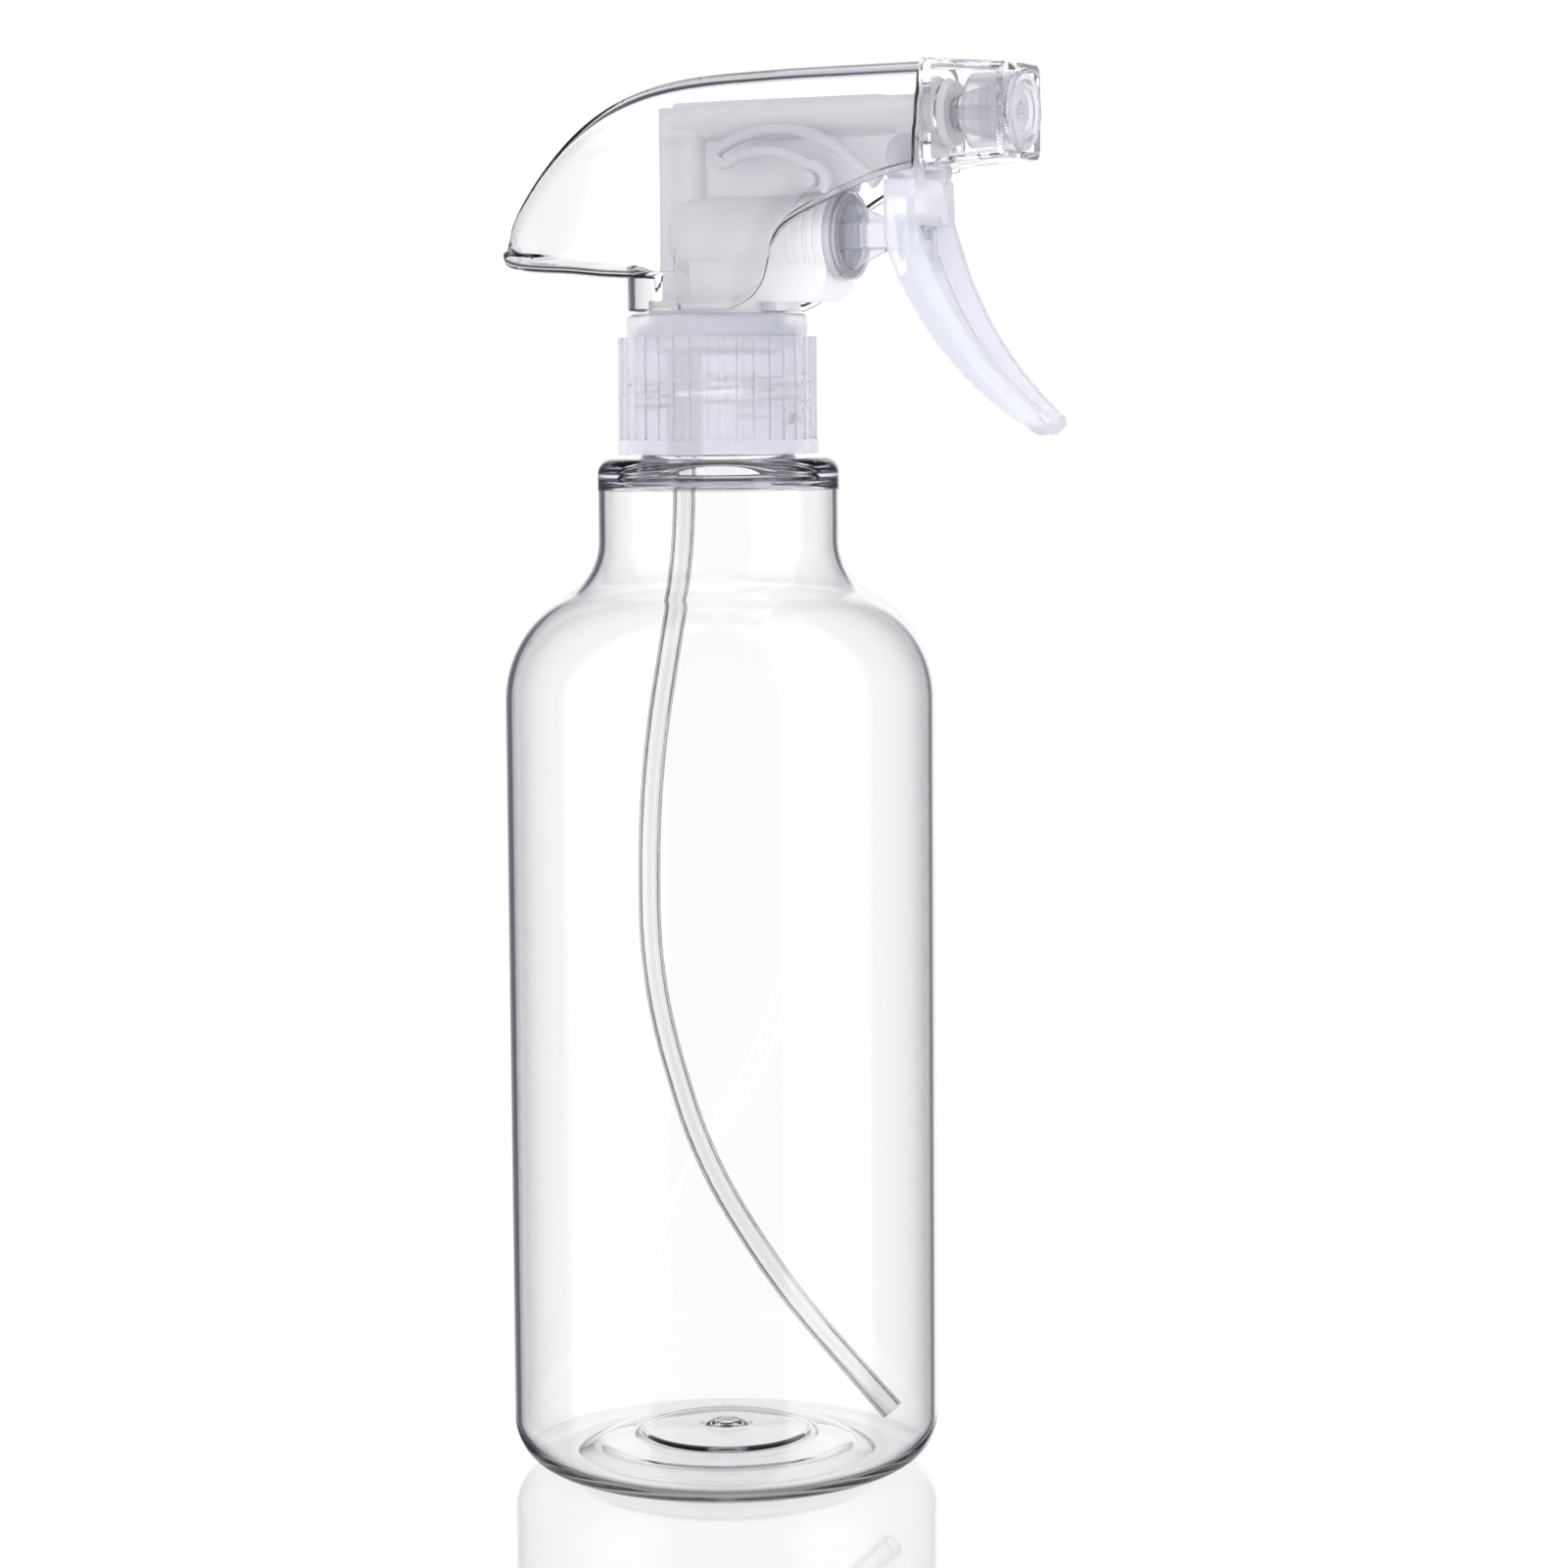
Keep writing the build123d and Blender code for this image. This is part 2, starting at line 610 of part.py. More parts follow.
# The orifice cup: a round cup with a dished, ringed face and a fine hole
with BuildPart() as spray_orifice:
    with BuildSketch(SIDE):
        ring_profile(
            SPRAY_Z,
            (46.0, 4.66),
            (46.0, ORIFICE_R),
            (NOZZLE_FACE_X - 0.4, ORIFICE_R),
            (NOZZLE_FACE_X, ORIFICE_R - 0.4),
            (NOZZLE_FACE_X, 4.9),
            (NOZZLE_FACE_X - 0.5, 4.4),
            (NOZZLE_FACE_X - 0.5, 3.3),
            (NOZZLE_FACE_X - 0.9, 2.9),
            (NOZZLE_FACE_X - 0.9, 1.6),
            (NOZZLE_FACE_X - 0.5, 1.3),
            (NOZZLE_FACE_X - 0.9, 0.4),
            (52.6, 0.4),
            (52.6, 4.66),
        )
    revolve(axis=SPRAY_AXIS)
save(spray_orifice, "spray_orifice")


def cover_section(size, inset):
    """Draw one square section of the nozzle cover, rounded at its corners."""
    width, height = size
    with Locations((0, SPRAY_Z)):
        RectangleRounded(width - 2 * inset, height - 2 * inset, 1.6 - 0.9 * inset)


# The nozzle cover: a tapered square box, with a snap ring inside its back and a front wall that
# holds the orifice cup
with BuildPart() as nozzle_cover:
    with BuildSketch(Plane.YZ.offset(COVER_X[0])):
        cover_section(COVER_REAR, 0)
    with BuildSketch(Plane.YZ.offset(COVER_X[1])):
        cover_section(COVER_FRONT, 0)
    loft()
    with BuildSketch(Plane.YZ.offset(COVER_X[0])):
        cover_section(COVER_REAR, COVER_WALL)
    with BuildSketch(Plane.YZ.offset(COVER_X[1] - 1.4)):
        cover_section(COVER_FRONT, COVER_WALL)
    loft(mode=Mode.SUBTRACT)
    with BuildSketch(Plane.YZ.offset(COVER_X[0] + 0.3)):
        with Locations((0, SPRAY_Z)):
            Rectangle(14.2, 14.8)
            Circle(4.9, mode=Mode.SUBTRACT)
    extrude(amount=1.3)
    with BuildSketch(Plane.YZ.offset(COVER_X[1] - 2.5)):
        with Locations((0, SPRAY_Z)):
            Circle(ORIFICE_R)
    extrude(amount=5, mode=Mode.SUBTRACT)
    # Moulding slots in the top and the bottom
    with BuildSketch(Plane.XY.offset(SPRAY_Z)):
        with Locations((46.0, 3.0), (46.0, -3.0)):
            Rectangle(4.2, 1.4)
    extrude(amount=12, both=True, mode=Mode.SUBTRACT)
save(nozzle_cover, "nozzle_cover")

# Sections of the shroud from its rear tip to its front: x, half-width low down and at the
# shoulder, height of the lower edge and of the top
SHROUD_SECTIONS = [
    (-38.3, 3.0, 1.6, 196.9, 201.2),
    (-35.0, 6.8, 4.0, 195.9, 207.8),
    (-29.0, 9.6, 5.8, 195.2, 215.2),
    (-22.0, 12.0, 7.0, 194.6, 220.8),
    (-14.0, 13.6, 7.7, 193.6, 224.2),
    (-4.0, 14.0, 8.0, 193.0, 225.9),
    (12.0, 12.6, 8.0, 193.0, 226.7),
    (22.0, 10.6, 8.0, 193.0, 226.95),
    (32.0, 9.5, 8.0, 193.0, 227.1),
    (SHROUD_FRONT_X, 9.2, 8.0, 193.0, 227.2),
]


def shroud_form(inset):
    """The shroud's long arched form as a solid, drawn inset inside its skin."""
    rear_x = SHROUD_SECTIONS[0][0]
    with BuildPart() as form:
        for x, low_w, high_w, low_z, top_z in SHROUD_SECTIONS:
            low = low_w - inset
            high = high_w - inset
            foot_z = low_z - 2 * inset
            waist_z = low_z + 0.55 * (top_z - low_z)
            waist = high_w + 0.9 - inset
            shoulder_z = top_z - 0.45 * high_w
            with BuildSketch(Plane.YZ.offset(x + inset if x == rear_x else x)):
                with BuildLine():
                    right = Polyline((low, foot_z), (low, low_z + 1), (waist, waist_z), (high, shoulder_z))
                    arch = ThreePointArc(right @ 1, (0, top_z - inset), (-high, shoulder_z))
                    left = Polyline(arch @ 1, (-waist, waist_z), (-low, low_z + 1), (-low, foot_z))
                    Line(left @ 1, right @ 0)
                make_face()
        loft()
    return form.part


shroud_skin = shroud_form(0)
shroud_hollow = shroud_form(SHROUD_T)
with BuildPart() as shroud:
    add(shroud_skin)
    add(shroud_hollow, mode=Mode.SUBTRACT)
    with BuildSketch(Plane.XY.offset(SKIRT_Z)):
        Circle(SKIRT_R)
        Circle(SKIRT_R - SHROUD_T, mode=Mode.SUBTRACT)
    extrude(amount=SKIRT_TOP_Z - SKIRT_Z)
    # Side view of what is cut away below the front lower edge
    with BuildSketch(SIDE):
        with BuildLine():
            rise = ThreePointArc((9.0, SKIRT_Z - 1), (13.6, 192.0), (15.6, 198.0))
            sweep_up = ThreePointArc(rise @ 1, (18.6, 202.6), (29.0, 207.6))
            Polyline(sweep_up @ 1, (SHROUD_FRONT_X + 1, 210.4), (SHROUD_FRONT_X + 1, SKIRT_Z - 1), rise @ 0)
        make_face()
    extrude(amount=20, both=True, mode=Mode.SUBTRACT)
    # Gap at the skirt's front, where the pump's vent housing looks out
    with BuildSketch(Plane.XY.offset(SKIRT_Z - 1)):
        with Locations((8.0, 0)):
            Rectangle(12, 12, align=(Align.MIN, Align.CENTER))
    extrude(amount=10, mode=Mode.SUBTRACT)
save(shroud, "shroud")
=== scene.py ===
"""The looks of the hand mister: clear bottle and shroud, milky pump parts, white glossy floor."""

import math

import bmesh
import bpy
from mathutils import Euler, Matrix, Vector


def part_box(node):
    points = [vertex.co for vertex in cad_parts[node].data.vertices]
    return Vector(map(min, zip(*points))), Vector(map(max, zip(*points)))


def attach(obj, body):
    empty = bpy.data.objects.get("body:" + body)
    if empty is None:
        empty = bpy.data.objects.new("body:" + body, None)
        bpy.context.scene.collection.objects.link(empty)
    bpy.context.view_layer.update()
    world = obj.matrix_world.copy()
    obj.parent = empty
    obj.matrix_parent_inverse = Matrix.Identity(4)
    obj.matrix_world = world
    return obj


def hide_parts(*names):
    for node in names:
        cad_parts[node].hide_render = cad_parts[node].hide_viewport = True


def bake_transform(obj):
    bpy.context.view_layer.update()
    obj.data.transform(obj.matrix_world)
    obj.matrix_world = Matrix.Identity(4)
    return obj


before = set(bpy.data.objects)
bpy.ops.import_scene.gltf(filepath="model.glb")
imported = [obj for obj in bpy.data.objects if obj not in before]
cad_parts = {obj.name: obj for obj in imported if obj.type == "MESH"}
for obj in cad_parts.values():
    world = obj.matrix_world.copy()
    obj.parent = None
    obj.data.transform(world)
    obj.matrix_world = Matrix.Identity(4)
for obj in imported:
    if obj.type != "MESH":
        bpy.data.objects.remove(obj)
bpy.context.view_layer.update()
MM = 0.001

# Where the camera stands: its angle round the bottle in degrees, its distance and its height
CAMERA_AZIMUTH = 27.5
CAMERA_DISTANCE = 658.2 * MM
CAMERA_HEIGHT = 177.5 * MM
# How it is turned from there, in degrees: down, to the side and about its own axis
CAMERA_PITCH = 5.68
CAMERA_PAN = 0.892
CAMERA_ROLL = 0.416
CAMERA_LENS = 93.05          # focal length in millimetres
CAMERA_SENSOR = 36.0         # sensor width in millimetres
CAMERA_NEAR = 10 * MM


def make_camera():
    """The camera, turned towards the bottle."""
    azimuth = math.radians(CAMERA_AZIMUTH)
    data = bpy.data.cameras.new("camera")
    data.lens = CAMERA_LENS
    data.sensor_width = CAMERA_SENSOR
    data.clip_start = CAMERA_NEAR
    camera = bpy.data.objects.new("camera", data)
    bpy.context.scene.collection.objects.link(camera)
    heading = azimuth - math.radians(CAMERA_PAN)
    upright = Euler((math.radians(90 - CAMERA_PITCH), 0, heading)).to_matrix()
    roll = Matrix.Rotation(-math.radians(CAMERA_ROLL), 3, "Z")
    place = Vector((math.sin(azimuth), -math.cos(azimuth), 0)) * CAMERA_DISTANCE
    place.z = CAMERA_HEIGHT
    camera.matrix_world = Matrix.Translation(place) @ (upright @ roll).to_4x4()
    bpy.context.scene.camera = camera


# ---------------------------------------------------------------- materials

PLASTIC_IOR = 1.49
PET_IOR = 1.52
MILKY_TINT = (0.55, 0.58, 0.75)      # what thick milky plastic turns to
# How uneven a surface is: the fineness of its noise, its strength and its depth in metres
BLOWN = (14, 0.03, 0.0004)
MOULDED = (20, 0.04, 0.0004)
SATIN = (60, 0.1, 0.0002)
RIBBED = (80, 0.1, 0.0002)
DRAWN = (90, 0.05, 0.0002)
RUBBERY = (200, 0.1, 0.0002)
FOAMED = (900, 0.4, 0.0003)
POLISHED = (100, 0.02, 0.0001)


def new_material(name):
    """An empty node material with its output node."""
    material = bpy.data.materials.new(name)
    material.use_nodes = True
    nodes = material.node_tree.nodes
    nodes.clear()
    return material, nodes, material.node_tree.links, nodes.new("ShaderNodeOutputMaterial")


def fine_bump(nodes, links, scale, strength, distance):
    """A faint uneven surface, as moulded plastic has. Returns the bump node's output."""
    coords = nodes.new("ShaderNodeTexCoord")
    noise = nodes.new("ShaderNodeTexNoise")
    noise.inputs["Scale"].default_value = scale
    noise.inputs["Detail"].default_value = 3.0
    bump = nodes.new("ShaderNodeBump")
    bump.inputs["Strength"].default_value = strength
    bump.inputs["Distance"].default_value = distance
    links.new(coords.outputs["Object"], noise.inputs["Vector"])
    links.new(noise.outputs["Fac"], bump.inputs["Height"])
    return bump.outputs["Normal"]


def new_surface(name, colour, roughness, wave):
    """A material with a slightly uneven surface, its shader and its output node."""
    material, nodes, links, output = new_material(name)
    shader = nodes.new("ShaderNodeBsdfPrincipled")
    shader.inputs["Base Color"].default_value = (*colour, 1)
    shader.inputs["Roughness"].default_value = roughness
    links.new(fine_bump(nodes, links, *wave), shader.inputs["Normal"])
    links.new(shader.outputs["BSDF"], output.inputs["Surface"])
    return material, shader, output


def opaque(name, colour, roughness, wave, metallic=0.0):
    """A material that no light goes through."""
    material, shader, _ = new_surface(name, colour, roughness, wave)
    shader.inputs["Metallic"].default_value = metallic
    return material


def plastic(name, colour, transmission, roughness, ior, tint, density, wave):
    """Plastic that lets light through, and tints it by the length that it crosses."""
    material, shader, output = new_surface(name, colour, roughness, wave)
    shader.inputs["IOR"].default_value = ior
    shader.inputs["Transmission Weight"].default_value = transmission
    if density:
        tree = material.node_tree
        absorption = tree.nodes.new("ShaderNodeVolumeAbsorption")
        absorption.inputs["Color"].default_value = (*tint, 1)
        absorption.inputs["Density"].default_value = density
        tree.links.new(absorption.outputs["Volume"], output.inputs["Volume"])
    return material


def clear_plastic(name, tint, density, roughness=0.0, ior=PLASTIC_IOR, wave=MOULDED):
    """Clear plastic, which is tinted where a long stretch of wall is looked through."""
    return plastic(name, (1, 1, 1), 1.0, roughness, ior, tint, density, wave)


def milky_plastic(name, colour, transmission, roughness, density=0.0, wave=SATIN):
    """Translucent polypropylene: part of the light is scattered, part goes through."""
    return plastic(name, colour, transmission, roughness, PLASTIC_IOR, MILKY_TINT, density, wave)


PET = clear_plastic("clear_pet", (0.60, 0.61, 0.72), density=14.0, ior=PET_IOR, wave=BLOWN)
SHELL = clear_plastic("clear_shell", (0.60, 0.60, 0.70), density=22.0)
COVER = clear_plastic("clear_cover", (0.56, 0.56, 0.72), density=12.0, roughness=0.05)
MILKY = milky_plastic("milky_pp", (0.95, 0.955, 0.995), transmission=0.22, roughness=0.3)
WHITE = milky_plastic("white_pp", (0.90, 0.905, 0.97), transmission=0.25, roughness=0.3)
TRIGGER = milky_plastic(
    "milky_trigger", (0.92, 0.925, 0.99), transmission=0.66, roughness=0.18, density=20.0
)
CAP = milky_plastic(
    "milky_cap", (0.92, 0.925, 0.99), transmission=0.72, roughness=0.12, wave=RIBBED
)
INSERT = milky_plastic("milky_insert", (0.93, 0.93, 0.99), transmission=0.75, roughness=0.06)
TUBE = milky_plastic("tube_pe", (1.0, 0.992, 0.992), transmission=0.94, roughness=0.0, wave=DRAWN)
FOAM = opaque("gasket_foam", (0.85, 0.86, 0.9), roughness=0.8, wave=FOAMED)
SILICONE = opaque("seal_rubber", (0.8, 0.8, 0.84), roughness=0.5, wave=RUBBERY)
STEEL = opaque("ball_steel", (0.8, 0.81, 0.83), roughness=0.12, wave=POLISHED, metallic=1.0)

CAD_MATERIALS = {
    "closure": CAP,
    "neck_gasket": FOAM,
    "intake_retainer": MILKY,
    "inlet_ball": STEEL,
    "ball_cage": WHITE,
    "dip_tube": TUBE,
    "pump_body": MILKY,
    "discharge_valve": SILICONE,
    "piston": CAP,
    "piston_seal": WHITE,
    "piston_guide": CAP,
    "bow_spring_right": WHITE,
    "bow_spring_left": WHITE,
    "trigger": TRIGGER,
    "swirl_insert": INSERT,
    "nozzle_seal": SILICONE,
    "spray_orifice": INSERT,
    "nozzle_cover": COVER,
    "bottle": PET,
    "shroud": SHELL,
}


def dress_cad_nodes():
    """Give every CAD node its material."""
    for node, material in CAD_MATERIALS.items():
        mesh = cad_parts[node].data
        mesh.materials.clear()
        mesh.materials.append(material)


# ---------------------------------------------------------------- numbers and curves

NEARLY_STRAIGHT = math.radians(89.5)     # half the angle at a corner from which it isn't rounded


def spaced(start, end, count):
    """Evenly spaced numbers from start to end."""
    return [start + (end - start) * k / (count - 1) for k in range(count)]


def smooth_step(value, low, high):
    """0 below low, 1 above high, and a smooth rise between."""
    t = max(0.0, min(1.0, (value - low) / (high - low)))
    return t * t * (3 - 2 * t)


def along(rows, x):
    """The columns of a table at x, on a smooth curve through its rows."""
    k = 0
    while k < len(rows) - 2 and x > rows[k + 1][0]:
        k += 1
    start, end = rows[k], rows[k + 1]
    before, after = rows[max(0, k - 1)], rows[min(len(rows) - 1, k + 2)]
    span = end[0] - start[0]
    t = (x - start[0]) / span
    values = []
    for column in range(1, len(start)):
        slope_in = (end[column] - before[column]) / (end[0] - before[0]) * span
        slope_out = (after[column] - start[column]) / (after[0] - start[0]) * span
        values.append(
            (2 * t**3 - 3 * t**2 + 1) * start[column]
            + (t**3 - 2 * t**2 + t) * slope_in
            + (3 * t**2 - 2 * t**3) * end[column]
            + (t**3 - t**2) * slope_out
        )
    return values


def arc(centre, radius, start, end, steps):
    """Points on an arc between two angles in degrees."""
    x, y = centre
    angles = [math.radians(degrees) for degrees in spaced(start, end, steps + 1)]
    return [Vector((x + radius * math.cos(a), y + radius * math.sin(a))) for a in angles]


def arc_through(a, b, c, steps):
    """Points on the circle through three points, from a over b to c, without a."""
    a, b, c = Vector(a), Vector(b), Vector(c)
    ab, ac = b - a, c - a
    cross = 2 * (ab.x * ac.y - ab.y * ac.x)
    centre = a + Vector((ac.y * ab.length_squared - ab.y * ac.length_squared,
                         ab.x * ac.length_squared - ac.x * ab.length_squared)) / cross
    start = math.atan2(a.y - centre.y, a.x - centre.x)
    end = math.atan2(c.y - centre.y, c.x - centre.x)
    if cross > 0:
        end += math.tau if end < start else 0
    else:
        end -= math.tau if end > start else 0
    radius = (a - centre).length
    angles = spaced(start, end, steps + 1)[1:]
    return [centre + radius * Vector((math.cos(t), math.sin(t))) for t in angles]


def rounded_path(corners, degrees=6.0):
    """A polyline through (a, b, radius) corners, each rounded by an arc of its radius."""
    path = [Vector(corners[0][:2])]
    for (ax, ay, _), (bx, by, radius), (cx, cy, _) in zip(corners, corners[1:], corners[2:]):
        corner = Vector((bx, by))
        back = (Vector((ax, ay)) - corner).normalized()
        ahead = (Vector((cx, cy)) - corner).normalized()
        half = math.acos(max(-1.0, min(1.0, back.dot(ahead)))) / 2
        if radius <= 0 or half > NEARLY_STRAIGHT:
            path.append(corner)
            continue
        centre = corner + (back + ahead).normalized() * (radius / math.sin(half))
        first = corner + back * (radius / math.tan(half)) - centre
        last = corner + ahead * (radius / math.tan(half)) - centre
        sweep = first.angle_signed(last)
        steps = max(2, math.ceil(abs(math.degrees(sweep)) / degrees))
        for k in range(steps + 1):
            turned = first.copy()
            turned.rotate(Matrix.Rotation(-sweep * k / steps, 2))
            path.append(centre + turned)
    path.append(Vector(corners[-1][:2]))
    return path


def hold_edges(path, longest):
    """Split long runs, with a point near each end, so that smooth shading keeps them straight."""
    near = 0.15 * longest
    held = [path[0]]
    for before, after in zip(path, path[1:]):
        length = (after - before).length
        if length > longest:
            pieces = max(3, math.ceil(length / (8 * longest)))
            held.append(before.lerp(after, near / length))
            held += [before.lerp(after, k / pieces) for k in range(1, pieces)]
            held.append(before.lerp(after, 1 - near / length))
        held.append(after)
    return held


# ---------------------------------------------------------------- mesh helpers

WELD = 0.002 * MM                    # vertices nearer than this are one
CRISP = math.radians(38)             # edges sharper than this aren't smoothed
CRISP_LEAF = math.radians(50)


def make_object(name, vertices, faces, material, body=None):
    """A mesh object from its vertices and faces, which rides on a body if one is named."""
    mesh = bpy.data.meshes.new(name)
    mesh.from_pydata(vertices, [], faces)
    mesh.materials.append(material)
    mesh.shade_smooth()
    mesh.validate()
    piece = bpy.data.objects.new(name, mesh)
    bpy.context.scene.collection.objects.link(piece)
    if body:
        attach(piece, body)
    return piece


def revolve(profile, steps=192):
    """Vertices and faces of a turned solid, whose (radius, z) profile runs from axis to axis."""
    vertices = [(0, 0, profile[0].y)]
    rings = profile[1:-1]
    for point in rings:
        for k in range(steps):
            angle = 2 * math.pi * k / steps
            vertices.append((point.x * math.cos(angle), point.x * math.sin(angle), point.y))
    vertices.append((0, 0, profile[-1].y))
    last = len(vertices) - 1
    faces = []
    for k in range(steps):
        after = (k + 1) % steps
        faces.append((0, 1 + after, 1 + k))
        for ring in range(len(rings) - 1):
            low = 1 + ring * steps
            high = low + steps
            faces.append((low + k, low + after, high + after, high + k))
        top = 1 + (len(rings) - 1) * steps
        faces.append((top + k, top + after, last))
    return vertices, faces


def swept_faces(sections, sides):
    """Faces of a closed outline that is swept through a number of sections, with both ends."""
    faces = []
    for section in range(sections - 1):
        for k in range(sides):
            low, after = section * sides, (k + 1) % sides
            faces.append((low + k, low + after, low + sides + after, low + sides + k))
    faces.append(tuple(range(sides))[::-1])
    faces.append(tuple((sections - 1) * sides + k for k in range(sides)))
    return faces


def recalculate(mesh):
    """Make every face of a closed mesh look outwards."""
    shape = bmesh.new()
    shape.from_mesh(mesh)
    bmesh.ops.remove_doubles(shape, verts=shape.verts, dist=WELD)
    bmesh.ops.recalc_face_normals(shape, faces=shape.faces)
    shape.to_mesh(mesh)
    shape.free()


def join_solids(piece, other):
    """Fuse another solid into a piece, remove the other, and shade the result."""
    fuse = piece.modifiers.new("fuse", "BOOLEAN")
    fuse.operation = "UNION"
    fuse.solver = "EXACT"
    fuse.use_self = True
    fuse.object = other
    bpy.context.view_layer.update()
    evaluated = piece.evaluated_get(bpy.context.evaluated_depsgraph_get())
    fused = bpy.data.meshes.new_from_object(evaluated)
    piece.modifiers.clear()
    piece.data = fused
    bpy.data.objects.remove(other)
    fused.shade_smooth()
    fused.set_sharp_from_angle(angle=CRISP)


# ---------------------------------------------------------------- bottle

BODY_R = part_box("bottle")[1].x
LIP_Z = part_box("bottle")[1].z
WALL = 1.0 * MM
FLOOR_T = 1.5 * MM
NECK_R = 12.4 * MM
BORE_R = 10.5 * MM
SLEEVE_R = BODY_R - 15.45 * MM
STEP_Z = LIP_Z - 17.8 * MM
RING_T = 3.4 * MM            # thickness of the step between sleeve and neck
RING_ROUND = 2.5 * MM
LIP_ROUND = 0.5 * MM
BORE_ROUND = 0.9 * MM        # where the bore opens into the step's underside
UNDER_ROUND = 1.8 * MM       # where the underside meets the sleeve
HEEL_R = 8.0 * MM
SHOULDER_Z = 126.0 * MM
SHOULDER_R = 19.5 * MM
SHOULDER_TURN = 61.56        # degrees from the body's side to where the throat starts
THROAT_R = 10.0 * MM
# The dished floor, as radius, rise above the foot and rounding of each corner, in millimetres
DISH = [
    (0, 4.9, 0),
    (2.2, 4.9, 0.8),
    (3.4, 4.3, 0.8),
    (13.5, 3.7, 3),
    (15.0, 3.0, 1.0),
    (20.5, 2.2, 6),
    (24.5, 0, 1.5),
]
LONGEST_RUN = 3 * MM         # runs of the profile longer than this are split
THREAD_TURNS = 1.5
THREAD_PITCH = 6.34 * MM / THREAD_TURNS
THREAD_Z = 171.5 * MM
THREAD_STEPS = 72            # steps in one turn of the thread
# Section of the bead, as distance out from the neck and height, in millimetres
BEAD = [(-0.3, -1.25), (1.3, -0.5), (1.3, 0.5), (-0.3, 1.25)]


def bottle_skin(inset, floor):
    """Profile from the middle of the floor to the top of the sleeve, inset within the skin."""
    side = BODY_R - inset
    corners = [(r * MM, rise * MM + floor, corner * MM) for r, rise, corner in DISH]
    path = rounded_path(corners + [(BODY_R - HEEL_R, floor, 0)])
    for k in range(1, 16):
        angle = math.radians(6 * k)
        r = side - (HEEL_R - inset) * (1 - math.sin(angle))
        path.append(Vector((r, HEEL_R - (HEEL_R - floor) * math.cos(angle))))
    path += arc((BODY_R - SHOULDER_R, SHOULDER_Z), SHOULDER_R - inset, 0, SHOULDER_TURN, 16)
    throat_z = SHOULDER_Z + (SHOULDER_R + THROAT_R) * math.sin(math.radians(SHOULDER_TURN))
    throat = (SLEEVE_R + THROAT_R, throat_z)
    path += arc(throat, THROAT_R + inset, 180 + SHOULDER_TURN, 180, 16)[1:]
    return path


def neck_bead():
    """Vertices and faces of the bead of thread round the neck."""
    turns = spaced(0, THREAD_TURNS, int(THREAD_STEPS * THREAD_TURNS) + 1)
    vertices = []
    for turn in turns:
        angle = math.tau * turn
        for out, rise in BEAD:
            r = NECK_R + out * MM
            z = THREAD_Z + THREAD_PITCH * turn + rise * MM
            vertices.append((r * math.cos(angle), r * math.sin(angle), z))
    return vertices, swept_faces(len(turns), len(BEAD))


def make_bottle():
    """The blown bottle with real walls and its thread, as one closed mesh."""
    outside = bottle_skin(0, 0)
    inside = bottle_skin(WALL, FLOOR_T)
    # From the sleeve's skin over the step and the lip, down the bore and back to the sleeve
    neck = [
        (outside[-1].x, outside[-1].y, 0),
        (SLEEVE_R, STEP_Z, RING_ROUND),
        (NECK_R, STEP_Z, LIP_ROUND),
        (NECK_R, LIP_Z, LIP_ROUND),
        (BORE_R, LIP_Z, LIP_ROUND),
        (BORE_R, STEP_Z - RING_T, BORE_ROUND),
        (SLEEVE_R - WALL, STEP_Z - RING_T, UNDER_ROUND),
        (inside[-1].x, inside[-1].y, 0),
    ]
    profile = outside[:-1] + rounded_path(neck) + inside[-2::-1]
    vertices, faces = revolve(hold_edges(profile, LONGEST_RUN))
    bottle = make_object("bottle_clear", vertices, faces, PET, "bottle")
    bead = make_object("thread_part", *neck_bead(), PET, "bottle")
    recalculate(bead.data)
    join_solids(bottle, bead)
    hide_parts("bottle")


# ---------------------------------------------------------------- shroud

SHROUD_WALL = 1.1 * MM
SHROUD_TIP_X, SHROUD_FRONT_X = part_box("shroud")[0].x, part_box("shroud")[1].x
SKIRT_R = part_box("shroud")[1].y
SKIRT_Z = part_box("shroud")[0].z
SKIRT_H = 5.8 * MM           # height of the skirt's rear half, up into the underside
SKIRT_CORNER = 0.25 * MM
SKIRT_ARC = (88, 272)        # where the rear half starts and ends, in degrees
# x, half-width low down and at the shoulder, height of the lower edge and of the top, in mm
SHROUD_SECTIONS = [
    (-38.3, 3.3, 1.4, 196.9, 200.7),
    (-35.0, 6.8, 3.2, 195.9, 206.2),
    (-29.0, 9.4, 4.6, 195.3, 213.4),
    (-22.0, 11.8, 6.0, 194.9, 219.4),
    (-14.0, 13.4, 7.2, 194.2, 223.6),
    (-4.0, 14.2, 8.0, 193.8, 225.9),
    (12.0, 13.4, 8.0, 193.8, 226.8),
    (26.0, 9.8, 8.0, 193.8, 227.0),
    (38.9, 9.0, 8.0, 193.8, 227.1),
]
# The lower edge towards the trigger, as x and height in millimetres
FRONT_EDGE = [
    (9.2, 188.8), (12.3, 190.2), (14.4, 192.6), (15.4, 195.7), (15.9, 198.6), (17.0, 200.9),
    (18.9, 202.6), (22.5, 204.6), (28.5, 207.3), (34.0, 209.2), (38.9, 210.2),
]
SKIRT_FRONT_X = 8.6 * MM     # where the skirt's straight lower edge ends
LEDGE = 0.2 * MM             # how far the sides step out at each of the two ledges, each way
LEDGE_STEP = 0.5 * MM        # half the height over which they do, at most
LEDGE_SHARE = 0.02           # and at most this share of the section's height
